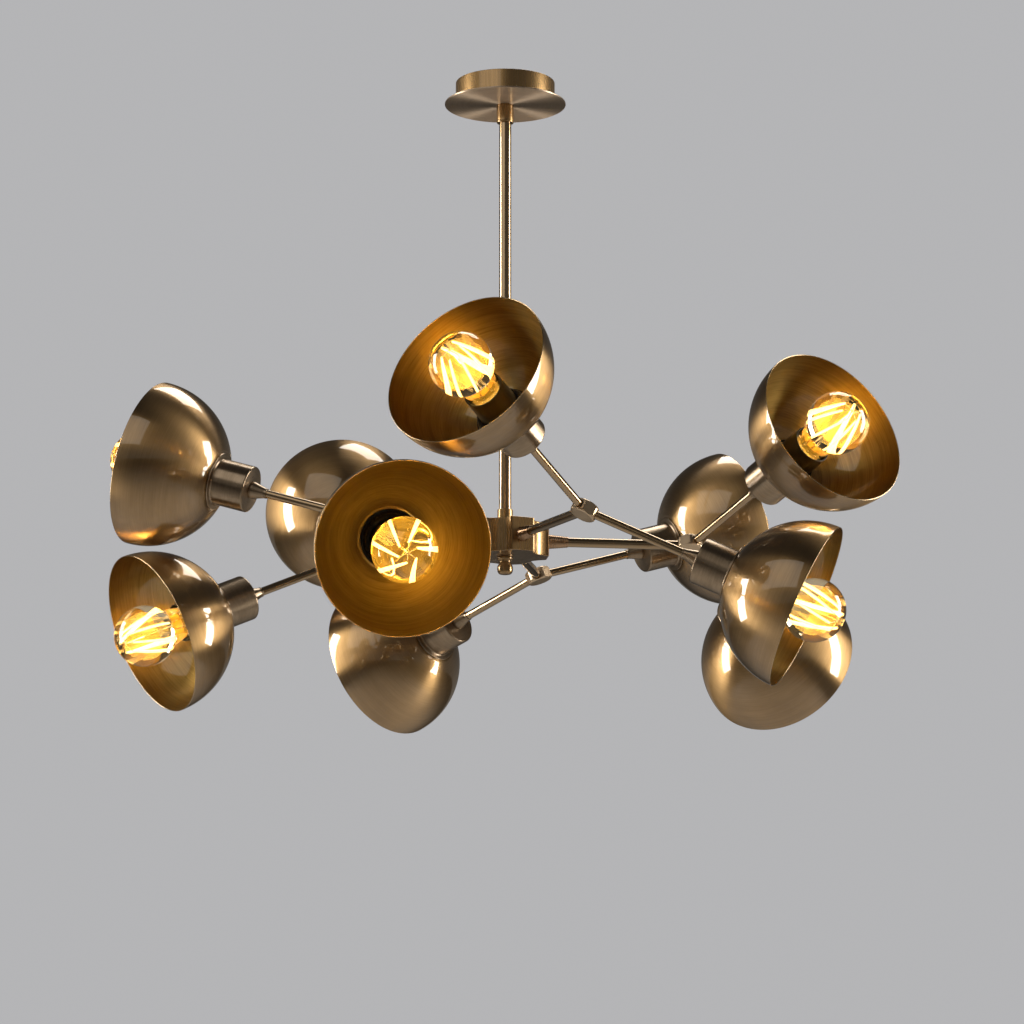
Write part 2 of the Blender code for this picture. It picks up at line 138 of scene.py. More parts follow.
floor_paint, floor_tree = paint_nodes("studio_floor")
floor_rays = node(floor_tree, "ShaderNodeLightPath")
surface(
    floor_tree,
    [
        ("Base Color", (*FLOOR_COLOUR, 1.0)),
        ("Roughness", 0.8),
        ("Emission Color", (*FLOOR_PALE, 1.0)),
        ("Emission Strength", floor_rays.outputs["Is Camera Ray"]),
    ],
)
floor_mesh = bpy.data.meshes.new("studio_floor")
half = FLOOR_SIZE / 2
floor_corners = [(-half, -half, 0), (half, -half, 0), (half, half, 0), (-half, half, 0)]
floor_mesh.from_pydata(floor_corners, [], [(0, 1, 2, 3)])
floor_mesh.materials.append(floor_paint)
floor = bpy.data.objects.new("studio_floor", floor_mesh)
floor.location = (0, 0, FLOOR_LEVEL)
scene.collection.objects.link(floor)


def soft_box(name, place, width, height, watts):
    """A rectangular light at place that faces the lamp. The camera doesn't see it."""
    light = bpy.data.lights.new(name, "AREA")
    light.shape = "RECTANGLE"
    light.size, light.size_y = width, height
    light.energy = watts
    light.color = BOX_COLOUR
    made = bpy.data.objects.new(name, light)
    made.location = place
    made.rotation_euler = (Vector(LAMP_MIDDLE) - Vector(place)).to_track_quat("-Z", "Y").to_euler()
    made.visible_camera = False
    scene.collection.objects.link(made)


soft_box("left_box", (-1.9, 0.15, -0.25), width=0.55, height=1.5, watts=34)
soft_box("right_box", (1.9, 0.10, -0.25), width=0.55, height=1.5, watts=34)
soft_box("front_box", (-1.7, -2.3, 1.5), width=3.2, height=2.4, watts=17)
soft_box("top_box", (0.6, 1.4, 2.2), width=1.6, height=1.2, watts=30)

# ---------------------------------------------------------------- canopy
# The ceiling cup: a shallow spun can with a wider thin disc under it, both brass, brushed and lacquered. The
# can is brushed from top to bottom and the disc is faced on a lathe; the disc's pale colour is painted light
# from the pale floor below. The coupler and a nut hold them up.
DRUM_WALL = 0.0012
DRUM_EDGE = 0.0012
DISC_EDGE = 0.0005
NIPPLE_GAP = 0.0004
PATINA_SHADE = 0.72
SIDES = 96
SHARP_ABOVE = math.radians(50)
AXIS_UP = Matrix.Identity(4)


def eased(outline, radius, steps=4, closed=False):
    """The outline with its corners rounded off, less where they are near each other. An open one keeps its
    two ends."""
    count = len(outline)
    result = []
    for place, corner in enumerate(outline):
        if not closed and place in (0, count - 1):
            result.append(corner)
            continue
        point = Vector(corner)
        before = Vector(outline[place - 1]) - point
        after = Vector(outline[(place + 1) % count]) - point
        reach = min(radius, before.length * 0.45, after.length * 0.45)
        start, end = point + before.normalized() * reach, point + after.normalized() * reach
        for step in range(steps + 1):
            share = step / steps
            bend = start * (1 - share) ** 2 + point * 2 * share * (1 - share) + end * share**2
            result.append(tuple(bend))
    return result


def lathe(name, outline, sides=SIDES, closed=True, grip=None):
    """The outline, (along, radius) points, turned round Z. grip gives a factor on the radius at an angle."""
    body = bmesh.new()
    rings = []
    for along, radius in outline:
        ring = []
        for step in range(sides if radius > 1e-7 else 1):
            angle = 2 * math.pi * step / sides
            reach = radius * (grip(angle, along, radius) if grip else 1.0)
            ring.append(body.verts.new((reach * math.cos(angle), reach * math.sin(angle), along)))
        rings.append(ring)
    pairs = list(zip(rings, rings[1:]))
    if closed:
        pairs.append((rings[-1], rings[0]))
    for first, second in pairs:
        for step in range(sides):
            after = (step + 1) % sides
            corners = [first[step % len(first)], first[after % len(first)]]
            corners += [second[after % len(second)], second[step % len(second)]]
            body.faces.new(list(dict.fromkeys(corners)))
    bmesh.ops.recalc_face_normals(body, faces=body.faces)
    mesh = bpy.data.meshes.new(name)
    body.to_mesh(mesh)
    body.free()
    mesh.shade_smooth()
    mesh.set_sharp_from_angle(angle=SHARP_ABOVE)
    return mesh


def fit_piece(name, mesh, place, body, paint=None, stands_for=()):
    """Sets a finished mesh in its place on the lamp, on the body it moves with."""
    piece = bpy.data.objects.new(name, mesh)
    piece.matrix_world = place
    scene.collection.objects.link(piece)
    if paint and not mesh.materials:
        mesh.materials.append(paint)
    even = piece.modifiers.new("even_shading", "WEIGHTED_NORMAL")
    even.keep_sharp = True
    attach(piece, body)
    for cad_node in stands_for:
        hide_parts(cad_node)
    return piece


def noise(tree, place, scale, detail, roughness=0.5):
    """Noise that stays with the piece."""
    spot = ("Vector", place.outputs["Object"])
    size = [("Scale", scale), ("Detail", detail), ("Roughness", roughness)]
    return node(tree, "ShaderNodeTexNoise", [spot, *size]).outputs[0]


def relief(tree, strength, depth, height):
    """A surface that rises and falls with height."""
    inputs = [("Strength", strength), ("Distance", depth), ("Height", height)]
    return node(tree, "ShaderNodeBump", inputs).outputs[0]


def brushed(
    name, light, dark, rough, lines, coat=0.5, streak=0.7, grain=650.0, bands=110.0, relief_share=0.05
):
    """Brushed brass under lacquer. lines is "round" for rings about the piece's own Z, or "long" for
    strokes that run along it. light is the colour of the strokes' crests, dark of the patina between."""
    made, tree = paint_nodes(name)
    place = node(tree, "ShaderNodeTexCoord")
    split = node(tree, "ShaderNodeSeparateXYZ", [(0, place.outputs["Object"])])
    flat = node(tree, "ShaderNodeCombineXYZ", [(0, split.outputs[0]), (1, split.outputs[1])])
    heading = node(tree, "ShaderNodeVectorMath", [(0, flat.outputs[0])], operation="NORMALIZE")
    radius = node(tree, "ShaderNodeVectorMath", [(0, flat.outputs[0])], operation="LENGTH")

    def strokes(pitch, arc_share, run_share):
        """Noise drawn out along the strokes. pitch is the strokes in a metre."""
        if lines == "long":
            stretch = (pitch, pitch, run_share)
            drawn = [(0, place.outputs["Object"]), (1, stretch)]
            spot = node(tree, "ShaderNodeVectorMath", drawn, operation="MULTIPLY")
            inputs = [("Vector", spot.outputs[0]), ("Scale", 1.0), ("Detail", 3.0)]
            return node(tree, "ShaderNodeTexNoise", inputs)
        shrunk = [(0, heading.outputs[0]), ("Scale", arc_share)]
        arc = node(tree, "ShaderNodeVectorMath", shrunk, operation="SCALE")
        rise = node(tree, "ShaderNodeMath", [(0, split.outputs[2]), (1, pitch)], operation="MULTIPLY")
        out = node(tree, "ShaderNodeMath", [(0, radius.outputs["Value"]), (1, pitch)], operation="MULTIPLY")
        lift = node(tree, "ShaderNodeCombineXYZ", [(2, rise.outputs[0])])
        moved = [(0, arc.outputs[0]), (1, lift.outputs[0])]
        spot = node(tree, "ShaderNodeVectorMath", moved, operation="ADD")
        inputs = [("Vector", spot.outputs[0]), ("W", out.outputs[0]), ("Scale", 1.0), ("Detail", 3.0)]
        return node(tree, "ShaderNodeTexNoise", inputs, noise_dimensions="4D")

    fine, broad = strokes(grain, 2.2, 12.0), strokes(bands, 0.9, 4.0)
    cloud = noise(tree, place, 28.0, 4.0, 0.6)
    mixed = node(tree, "ShaderNodeMath", [(0, fine.outputs[0]), (1, broad.outputs[0])], operation="ADD")
    tone = node(tree, "ShaderNodeMapRange", [(0, mixed.outputs[0]), (1, 0.55), (2, 1.45)])
    stroke_colour = colour_between(tree, tone.outputs[0], dark, light)
    patina_share = node(tree, "ShaderNodeMapRange", [(0, cloud), (1, 0.45), (2, 0.80), (3, 0.0), (4, 0.35)])
    patina = [PATINA_SHADE * part for part in dark]
    roughness = node(
        tree,
        "ShaderNodeMapRange",
        [(0, mixed.outputs[0]), (1, 0.55), (2, 1.45), (3, rough + 0.04), (4, rough - 0.04)],
    )
    tangent = node(tree, "ShaderNodeTangent", direction_type="RADIAL", axis="Z")
    surface(
        tree,
        [
            ("Base Color", colour_between(tree, patina_share.outputs[0], stroke_colour, patina)),
            ("Metallic", 1.0),
            ("Roughness", roughness.outputs[0]),
            ("Normal", relief(tree, relief_share, 0.0004, fine.outputs[0])),
            ("Tangent", tangent.outputs[0]),
            ("Anisotropic", streak),
            ("Anisotropic Rotation", 0.25 if lines == "round" else 0.0),
            ("Coat Weight", coat),
            ("Coat Roughness", 0.04),
            ("Coat IOR", 1.8),
        ],
    )
    return made


BRASS_LIGHT = (0.50, 0.320, 0.140)
BRASS_DARK = (0.32, 0.195, 0.080)
ring_brass = brushed("ring_brushed_brass", BRASS_LIGHT, BRASS_DARK, 0.30, "round")
long_brass = brushed("long_brushed_brass", BRASS_LIGHT, BRASS_DARK, 0.27, "long")
# The disc's pale colour is painted light: it stands in for light from the pale floor falling on its
# underside.
disc_brass_painted_floor_light = brushed(
    "faced_brass", (0.78, 0.63, 0.49), (0.62, 0.49, 0.36), 0.50, "round", coat=0.2, streak=0.85
)

nipple_low, nipple_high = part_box("threaded_nipple")
nipple_radius = nipple_high.x
nipple_hole = nipple_radius + NIPPLE_GAP

drum_low, drum_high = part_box("canopy_drum")
drum_radius = drum_high.x
drum_floor = drum_low.z + DRUM_WALL
drum_outline = [
    (drum_high.z, drum_radius),
    (drum_low.z, drum_radius),
    (drum_low.z, nipple_hole),
    (drum_floor, nipple_hole),
    (drum_floor, drum_radius - DRUM_WALL),
    (drum_high.z, drum_radius - DRUM_WALL),
]
drum_mesh = lathe("canopy_can", eased(drum_outline, DRUM_EDGE, closed=True))
fit_piece("canopy_can", drum_mesh, AXIS_UP, "ceiling", long_brass, ["canopy_drum"])

disc_low, disc_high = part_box("canopy_disc")
disc_outline = [
    (disc_high.z, disc_high.x),
    (disc_low.z, disc_high.x),
    (disc_low.z, nipple_hole),
    (disc_high.z, nipple_hole),
]
disc_mesh = lathe("canopy_plate", eased(disc_outline, DISC_EDGE, closed=True))
fit_piece("canopy_plate", disc_mesh, AXIS_UP, "ceiling", disc_brass_painted_floor_light, ["canopy_disc"])

# ---------------------------------------------------------------- ceiling fixings
# Inside the canopy, seen only from above: a zinc-plated strip with rounded ends and two screw holes, the
# threaded nipple that hangs from it, a nut at each end of the nipple, and a white terminal block with screws.
BRACKET_CORNER = 0.0035
BRACKET_EDGE = 0.00025
SCREW_SPREAD = 0.034
SCREW_HOLE = 0.0026
THREAD_PITCH = 0.001
THREAD_DEPTH = 0.00035
NIPPLE_BORE = 0.0037
NUT_ACROSS = 0.0135
NUT_HEIGHT = 0.0032
NUT_EDGE = 0.0004
BLOCK_CORNER = 0.0012
BLOCK_EDGE = 0.0005
BLOCK_SCREW = 0.0016
SCREW_SLOT = 0.0006
SCREW_SUNK = 0.0006
TOWER_HEIGHT = 0.0026
TOWER_OVERLAP = 0.0006
BLOCK_POLES = 3


def ring_of(x, y, radius, count, first=0.0):
    """Points round a circle."""
    turns = [math.radians(first) + 2 * math.pi * step / count for step in range(count)]
    return [(x + radius * math.cos(turn), y + radius * math.sin(turn)) for turn in turns]


def box_loop(low, high, corner, steps=4):
    """The outline of a box seen from above, with round corners."""
    corners = [(low.x, low.y), (high.x, low.y), (high.x, high.y), (low.x, high.y)]
    return eased(corners, corner, steps=steps, closed=True)


def plate(name, loops, low, high, edge):
    """A flat shape between two levels with soft edges. The first loop is its outline, the rest its holes."""
    shape = bpy.data.curves.new(name, "CURVE")
    shape.dimensions = "2D"
    shape.fill_mode = "BOTH"
    shape.extrude = (high - low) / 2 - edge
    shape.bevel_depth = edge
    shape.bevel_resolution = 2
    shape.offset = -edge
    for loop in loops:
        spline = shape.splines.new("POLY")
        spline.points.add(len(loop) - 1)
        for point, (x, y) in zip(spline.points, loop):
            point.co = (x, y, 0.0, 1.0)
        spline.use_cyclic_u = True
    holder = bpy.data.objects.new(name, shape)
    scene.collection.objects.link(holder)
    bpy.context.view_layer.update()
    mesh = bpy.data.meshes.new_from_object(holder.evaluated_get(bpy.context.evaluated_depsgraph_get()))
    bpy.data.objects.remove(holder)
    mesh.transform(Matrix.Translation((0, 0, (high + low) / 2)))
    body = bmesh.new()
    body.from_mesh(mesh)
    bmesh.ops.remove_doubles(body, verts=body.verts, dist=1e-6)
    bmesh.ops.recalc_face_normals(body, faces=body.faces)
    body.to_mesh(mesh)
    body.free()
    mesh.name = name
    mesh.materials.clear()
    mesh.shade_smooth()
    mesh.set_sharp_from_angle(angle=SHARP_ABOVE)
    return mesh


def joined(name, meshes):
    """Several meshes made into one."""
    body = bmesh.new()
    for mesh in meshes:
        body.from_mesh(mesh)
    result = bpy.data.meshes.new(name)
    body.to_mesh(result)
    body.free()
    result.shade_smooth()
    result.set_sharp_from_angle(angle=SHARP_ABOVE)
    return result


def plain_metal(name, light, dark, rough, coat=0.0, grain=900.0, relief_share=0.06):
    """A metal with a fine even grain and soft stains."""
    made, tree = paint_nodes(name)
    place = node(tree, "ShaderNodeTexCoord")
    fine, stain = noise(tree, place, grain, 3.0, 0.6), noise(tree, place, 60.0, 4.0)
    share = node(tree, "ShaderNodeMapRange", [(0, stain), (1, 0.35), (2, 0.65)])
    gloss = [(0, fine), (1, 0.3), (2, 0.7), (3, rough - 0.05), (4, rough + 0.07)]
    surface(
        tree,
        [
            ("Base Color", colour_between(tree, share.outputs[0], dark, light)),
            ("Metallic", 1.0),
            ("Roughness", node(tree, "ShaderNodeMapRange", gloss).outputs[0]),
            ("Normal", relief(tree, relief_share, 0.0005, fine)),
            ("Coat Weight", coat),
            ("Coat Roughness", 0.08),
        ],
    )
    return made


def moulded(name, light, dark, rough, grain=1400.0, shine=0.5):
    """Moulded plastic or bakelite: a faint orange-peel relief and small changes of gloss and colour."""
    made, tree = paint_nodes(name)
    place = node(tree, "ShaderNodeTexCoord")
    peel, cloud = noise(tree, place, grain, 2.0), noise(tree, place, 90.0, 3.0)
    gloss = [(0, cloud), (1, 0.3), (2, 0.7), (3, rough - 0.06), (4, rough + 0.08)]
    surface(
        tree,
        [
            ("Base Color", colour_between(tree, cloud, dark, light)),
            ("Roughness", node(tree, "ShaderNodeMapRange", gloss).outputs[0]),
            ("Normal", relief(tree, 0.08, 0.0004, peel)),
            ("Specular IOR Level", shine),
        ],
    )
    return made


zinc = plain_metal("zinc_plate", (0.62, 0.63, 0.66), (0.42, 0.43, 0.46), 0.36)
white_plastic = moulded("white_terminal_plastic", (0.80, 0.80, 0.78), (0.70, 0.70, 0.67), 0.45)

bracket_low, bracket_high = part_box("ceiling_bracket")
strip_loop = box_loop(bracket_low, bracket_high, BRACKET_CORNER, steps=6)
strip_loops = [strip_loop, *(ring_of(side * SCREW_SPREAD, 0, SCREW_HOLE, 32) for side in (-1, 1))]
strip_mesh = plate("ceiling_strip", strip_loops, bracket_low.z, bracket_high.z, BRACKET_EDGE)
fit_piece("ceiling_strip", strip_mesh, AXIS_UP, "ceiling", zinc, ["ceiling_bracket"])

threads = int((nipple_high.z - nipple_low.z) / THREAD_PITCH)
nipple_outline = [(nipple_high.z, NIPPLE_BORE)]
for turn in range(threads):
    crest = nipple_high.z - (turn + 0.25) * THREAD_PITCH
    nipple_outline += [(crest, nipple_radius), (crest - THREAD_PITCH / 2, nipple_radius - THREAD_DEPTH)]
nipple_outline.append((nipple_low.z, NIPPLE_BORE))
nipple_mesh = lathe("nipple_tube", nipple_outline, sides=32)
fit_piece("nipple_tube", nipple_mesh, AXIS_UP, "ceiling", zinc, ["threaded_nipple"])

nut_loops = [ring_of(0, 0, NUT_ACROSS / math.sqrt(3), 6), ring_of(0, 0, nipple_radius + 0.0001, 32)]
nut_tops = {"upper_nut": bracket_low.z - 0.0002, "lower_nut": drum_floor + NUT_HEIGHT}
for nut_name, nut_top in nut_tops.items():
    nut_mesh = plate(nut_name, nut_loops, nut_top - NUT_HEIGHT, nut_top, NUT_EDGE)
    fit_piece(nut_name, nut_mesh, AXIS_UP, "ceiling", zinc)

block_low, block_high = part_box("terminal_block")
block_foot = block_low.z + TOWER_HEIGHT - TOWER_OVERLAP
block_loop = box_loop(block_low, block_high, BLOCK_CORNER)
block_mesh = plate("terminal_body", [block_loop], block_foot, block_high.z, BLOCK_EDGE)
pole_gap = (block_high.x - block_low.x) / BLOCK_POLES
poles, screws = [block_mesh], []
for pole in range(BLOCK_POLES):
    middle = (block_low.x + (pole + 0.5) * pole_gap, 0.0)
    tower = [ring_of(*middle, pole_gap * 0.42, 24), ring_of(*middle, BLOCK_SCREW + 0.0003, 24)]
    poles.append(plate("terminal_tower", tower, block_low.z, block_low.z + TOWER_HEIGHT, 0.0003))
    slot = [(middle[0] + side * BLOCK_SCREW * 0.8, -SCREW_SLOT / 2) for side in (-1, 1)]
    slot += [(x, SCREW_SLOT / 2) for x, _ in reversed(slot)]
    screw_foot, screw_top = block_low.z + SCREW_SUNK, block_low.z + 0.0024
    screws.append(
        plate("terminal_screw", [ring_of(*middle, BLOCK_SCREW, 24), slot], screw_foot, screw_top, 0.0001)
    )
block_mesh, screws_mesh = joined("terminal_body", poles), joined("terminal_screws", screws)
fit_piece(
    "terminal_body", block_mesh, AXIS_UP, "ceiling", white_plastic, ["terminal_block"]
)
fit_piece("terminal_screws", screws_mesh, AXIS_UP, "ceiling", zinc)

# ---------------------------------------------------------------- stem
# A drawn brass tube between two turned collars. The upper one screws up onto the nipple and lets the tube
# turn in it; the lower one is fixed to the tube and sits on the hub.
STEM_WALL = 0.001
TUBE_EDGE = 0.0003
TURN_GAP = 0.0003  # between the coupler and what it holds
SEAT_GAP = 0.0002  # between the stem and what is fixed on it
COLLAR_EDGE = 0.0007
COUPLER_LIP = 0.0011  # height of the band turned at the coupler's lower end
LIP_GROOVE = 0.0004

tube_brass = brushed(
    "drawn_tube_brass",
    (0.50, 0.345, 0.18),
    (0.38, 0.25, 0.12),
    0.18,
    "long",
    coat=1.0,
    streak=0.2,
    relief_share=0.01,
)
stem_low, stem_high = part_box("stem_tube")
stem_radius = stem_high.x
stem_outline = [
    (stem_high.z, stem_radius - STEM_WALL),
    (stem_high.z, stem_radius),
    (stem_low.z, stem_radius),
    (stem_low.z, stem_radius - STEM_WALL),
]
stem_mesh = lathe("hanging_tube", eased(stem_outline, TUBE_EDGE, closed=True), sides=48)
fit_piece("hanging_tube", stem_mesh, AXIS_UP, "frame", tube_brass, ["stem_tube"])

coupler_low, coupler_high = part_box("stem_coupler")
coupler_radius = coupler_high.x
band = coupler_low.z + COUPLER_LIP
coupler_outline = [
    (coupler_high.z, nipple_radius + TURN_GAP),
    (coupler_high.z, coupler_radius),
    (band + LIP_GROOVE, coupler_radius),
    (band + LIP_GROOVE / 2, coupler_radius - LIP_GROOVE),
    (band, coupler_radius),
    (coupler_low.z, coupler_radius - 0.0002),
    (coupler_low.z, stem_radius + TURN_GAP),
    (stem_high.z + TURN_GAP, stem_radius + TURN_GAP),
    (stem_high.z + TURN_GAP, nipple_radius + TURN_GAP),
]
coupler_mesh = lathe("swivel_collar", eased(coupler_outline, COLLAR_EDGE, closed=True), sides=64)
fit_piece("swivel_collar", coupler_mesh, AXIS_UP, "ceiling", long_brass, ["stem_coupler"])

collar_low, collar_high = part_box("stem_collar")
collar_radius = collar_high.x
collar_outline = [
    (collar_high.z, stem_radius + SEAT_GAP),
    (collar_high.z, collar_radius),
    (collar_low.z, collar_radius),
    (collar_low.z, stem_radius + SEAT_GAP),
]
collar_mesh = lathe("hub_collar", eased(collar_outline, COLLAR_EDGE, closed=True), sides=64)
fit_piece("hub_collar", collar_mesh, AXIS_UP, "frame", long_brass, ["stem_collar"])

# ---------------------------------------------------------------- hub and knob
# A star-shaped brass block with five flat points and hollow flanks, milled and brushed up and down on its
# sides and satin on its flat faces. A turned knob screws into it from below and closes the stem's bore.
HUB_REACH = 0.042  # middle to the flat of each point
POINT_WIDTH = 0.023
FLANK_DEPTH = 0.006
FIRST_POINT = 6.2  # degrees from X
POINTS = 5
HUB_EDGE = 0.0007
POINT_EDGE = 0.0012
FLANK_STEPS = 20
KNOB_EASE = 0.0012
KNOB_NECK = 0.0055


def flank(start, end):
    """The hollow arc between two points of the star, without its ends."""
    start, end = Vector(start), Vector(end)
    half, middle = (end - start).length / 2, (start + end) / 2
    radius = (half**2 + FLANK_DEPTH**2) / (2 * FLANK_DEPTH)
    inward, along = -middle.normalized(), (end - start).normalized()
    centre, sweep = middle - inward * (radius - FLANK_DEPTH), math.asin(half / radius)
    turns = [-sweep + 2 * sweep * step / FLANK_STEPS for step in range(1, FLANK_STEPS)]
    return [tuple(centre + radius * (math.sin(turn) * along + math.cos(turn) * inward)) for turn in turns]


point_ends = []
for point in range(POINTS):
    turn = math.radians(FIRST_POINT + 360 * point / POINTS)
    out, across = Vector((math.cos(turn), math.sin(turn))), Vector((-math.sin(turn), math.cos(turn)))
    point_ends.append([tuple(out * HUB_REACH + across * side * POINT_WIDTH / 2) for side in (-1, 1)])
star = []
for point, (first, last) in enumerate(point_ends):
    before, after = point_ends[point - 1][1], point_ends[(point + 1) % POINTS][0]
    star += eased([before, first, last, after], POINT_EDGE)[1:-1] + flank(last, after)
hub_low, hub_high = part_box("hub")
hub_middle = (hub_low.z + hub_high.z) / 2
hub_bore = ring_of(0, 0, stem_radius + SEAT_GAP, 48)
hub_mesh = plate("star_block", [star, hub_bore], hub_low.z, hub_high.z, HUB_EDGE)
hub_face_brass = plain_metal(
    "satin_face_brass", (0.50, 0.385, 0.27), (0.42, 0.31, 0.21), 0.27, coat=0.4, relief_share=0.03
)
hub_mesh.materials.append(long_brass)
hub_mesh.materials.append(hub_face_brass)
for face in hub_mesh.polygons:
    face.material_index = 1 if abs(face.normal.z) > 0.98 else 0
fit_piece("star_block", hub_mesh, AXIS_UP, "frame", None, ["hub"])

knob_low, knob_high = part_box("finial")
knob_top, knob_radius = hub_low.z, knob_high.x
# Down the knob's axis: spigot, shoulder, neck, belly, tip.
knob_outline = [
    (knob_high.z, 0),
    (knob_high.z, stem_radius - 0.0001),
    (knob_top, stem_radius - 0.0001),
    (knob_top, knob_radius),
    (knob_top - 0.0024, knob_radius),
    (knob_top - 0.0036, KNOB_NECK + 0.0004),
    (knob_top - 0.0052, KNOB_NECK),
    (knob_top - 0.0068, KNOB_NECK + 0.0006),
    (knob_top - 0.0090, knob_radius - 0.0003),
    (knob_top - 0.0120, knob_radius),
    (knob_low.z + 0.0026, knob_radius - 0.0004),
    (knob_low.z + 0.0006, KNOB_NECK + 0.0006),
    (knob_low.z, KNOB_NECK - 0.0015),
    (knob_low.z, 0),
]
knob_mesh = lathe("knob", eased(knob_outline, KNOB_EASE), sides=64, closed=False)
fit_piece("knob", knob_mesh, AXIS_UP, "frame", ring_brass, ["finial"])

# ---------------------------------------------------------------- arms
# Five drawn brass tubes that stand out from the hub's points. A short ribbed cone, turned from brass, is
# pressed over each where it leaves the hub.
ARM_RADIUS = 0.0047
ARM_WALL = 0.001
CONE_LENGTH = 0.0195
CONE_BASE, CONE_TIP = 0.0072, 0.0053
CONE_RIBS = 9
RIB_DEPTH = 0.00032
PRESS_GAP = 0.0001  # between a tube and a cone or cup pressed on it
SOCKET_FLOOR = 0.0058  # from the middle of a Y joint to the tubes' ends in it

roll_joints = {joint["child"]: joint for joint in frame["joints"] if joint["name"].endswith("_roll")}
arms = {}
for body_name, joint in sorted(roll_joints.items()):
    arms[body_name[-1]] = (Vector(joint["pos_m"]), -Vector(joint["axis"]).normalized())
hub_centre = Vector((0, 0, hub_middle))
arm_reach = min((place - hub_centre).length for place, _ in arms.values())
arm_end = arm_reach - SOCKET_FLOOR
cone_back = HUB_REACH + 0.0004
cone_front = cone_back + CONE_LENGTH

tube_outline = [
    (cone_back, ARM_RADIUS - ARM_WALL),
    (cone_back, ARM_RADIUS),
    (arm_end, ARM_RADIUS),
    (arm_end, ARM_RADIUS - ARM_WALL),
]
arm_mesh = lathe("arm_tube", eased(tube_outline, TUBE_EDGE, closed=True), sides=48)
cone_outline = [(cone_back, ARM_RADIUS + PRESS_GAP), (cone_back, CONE_BASE)]
for rib in range(CONE_RIBS):
    for share, dip in ((0.15, 0), (0.55, 0), (0.75, 1), (0.95, 1)):
        run = (rib + share) / CONE_RIBS
        radius = CONE_BASE + (CONE_TIP - CONE_BASE) * run - dip * RIB_DEPTH
        cone_outline.append((cone_back + run * CONE_LENGTH, radius))
cone_outline += [(cone_front, CONE_TIP - RIB_DEPTH), (cone_front, ARM_RADIUS + PRESS_GAP)]
arm_cone_mesh = lathe("arm_cone", cone_outline, sides=64)
cone_brass = brushed("turned_cone_brass", (0.56, 0.36, 0.21), (0.34, 0.21, 0.12), 0.26, "round", coat=0.3)


def stand(place, along, side):
    """A place whose Z runs along one direction and whose Y is as near as can be to another."""
    deep = along.normalized()
    across = side.cross(deep).normalized()
    turn = Matrix((across, deep.cross(across), deep)).transposed().to_4x4()
    return Matrix.Translation(place) @ turn


for letter, (_, out) in arms.items():
    arm_place, cad_arm = stand(hub_centre, out, Vector((0, 0, 1))), f"arm_{letter}"
    fit_piece(f"arm_tube_{letter}", arm_mesh, arm_place, "frame", tube_brass, [cad_arm])
    fit_piece(f"arm_cone_{letter}", arm_cone_mesh, arm_place, "frame", cone_brass)

# ---------------------------------------------------------------- Y joints
# A cast and satin-blasted brass puck at the end of each arm, paler than the tubes, with flats milled on its
# edge and three sockets: the arm's tube turns in one, and the rods are pinned in the other two.
PUCK_RADIUS = 0.013
PUCK_HEIGHT = 0.013
PUCK_EDGE = 0.0032
FLATS = 6
FLAT_REACH = 0.0119
ROD_SPREAD = 60.0  # degrees from the arm's line to each rod's
ROD_RADIUS = 0.0041
SOCKET_CLEAR = 0.0004
TOOL_REACH = 0.02  # past the puck on every side
# Degrees each rod was turned about itself when it was pinned.
HEAD_SPIN = {"a1": 89, "a2": 5, "b2": 84, "c2": 87, "e1": 73, "e2": 15}

cast_brass = plain_metal(
    "satin_cast_brass", (0.72, 0.57, 0.40), (0.60, 0.45, 0.30), 0.33, coat=0.15, relief_share=0.10
)
puck_outline = [
    (-PUCK_HEIGHT / 2, 0),
    (-PUCK_HEIGHT / 2, PUCK_RADIUS),
    (PUCK_HEIGHT / 2, PUCK_RADIUS),
    (PUCK_HEIGHT / 2, 0),
]
puck_blank = lathe("fork_blank", eased(puck_outline, PUCK_EDGE, steps=8), closed=False)


def tooled(name, mesh, tools):
    """The mesh after it was cut with each tool in turn. A tool is (mesh, place, operation)."""
    work = bpy.data.objects.new(name, mesh)
    scene.collection.objects.link(work)
    helpers = []
    for tool_mesh, place, operation in tools:
        tool = bpy.data.objects.new("tool", tool_mesh)
        tool.matrix_world = place
        scene.collection.objects.link(tool)
        helpers.append(tool)
        step = work.modifiers.new("tool", "BOOLEAN")
        step.operation, step.solver, step.object = operation, "EXACT", tool
    bpy.context.view_layer.update()
    made = bpy.data.meshes.new_from_object(work.evaluated_get(bpy.context.evaluated_depsgraph_get()))
    for spare in (work, *helpers):
        bpy.data.objects.remove(spare)
    made.name = name
    made.shade_smooth()
    made.set_sharp_from_angle(angle=math.radians(24))
    return made


flats_loop = ring_of(0, 0, FLAT_REACH / math.cos(math.pi / FLATS), FLATS, first=180 / FLATS)
flats_tool = plate("flats_tool", [flats_loop], -TOOL_REACH, TOOL_REACH, 0.0001)


def drill(name, tube_radius):
    """The tool for a flat-bottomed socket that a tube fits in with a little room."""
    radius, bottom, mouth = tube_radius + SOCKET_CLEAR, SOCKET_FLOOR - 0.001, 0.03
    return lathe(name, [(bottom, 0), (bottom, radius), (mouth, radius), (mouth, 0)], sides=48, closed=False)


def towards(degrees):
    """A place in the puck's plane whose Z looks this way round from the arm's line."""
    return Matrix.Rotation(math.radians(degrees), 4, "Z") @ Matrix.Rotation(math.radians(90), 4, "Y")


arm_bore, rod_bore = drill("arm_bore", ARM_RADIUS), drill("rod_bore", ROD_RADIUS)
fork_mesh = tooled(
    "fork",
    puck_blank,
    [
        (flats_tool, AXIS_UP, "INTERSECT"),
        (arm_bore, towards(180), "DIFFERENCE"),
        (rod_bore, towards(ROD_SPREAD), "DIFFERENCE"),
        (rod_bore, towards(-ROD_SPREAD), "DIFFERENCE"),
    ],
)


def mesh_middle(node_name):
    """The average of a CAD node's points."""
    points = [vertex.co for vertex in frame["nodes"][node_name].data.vertices]
    return sum(points, Vector()) / len(points)


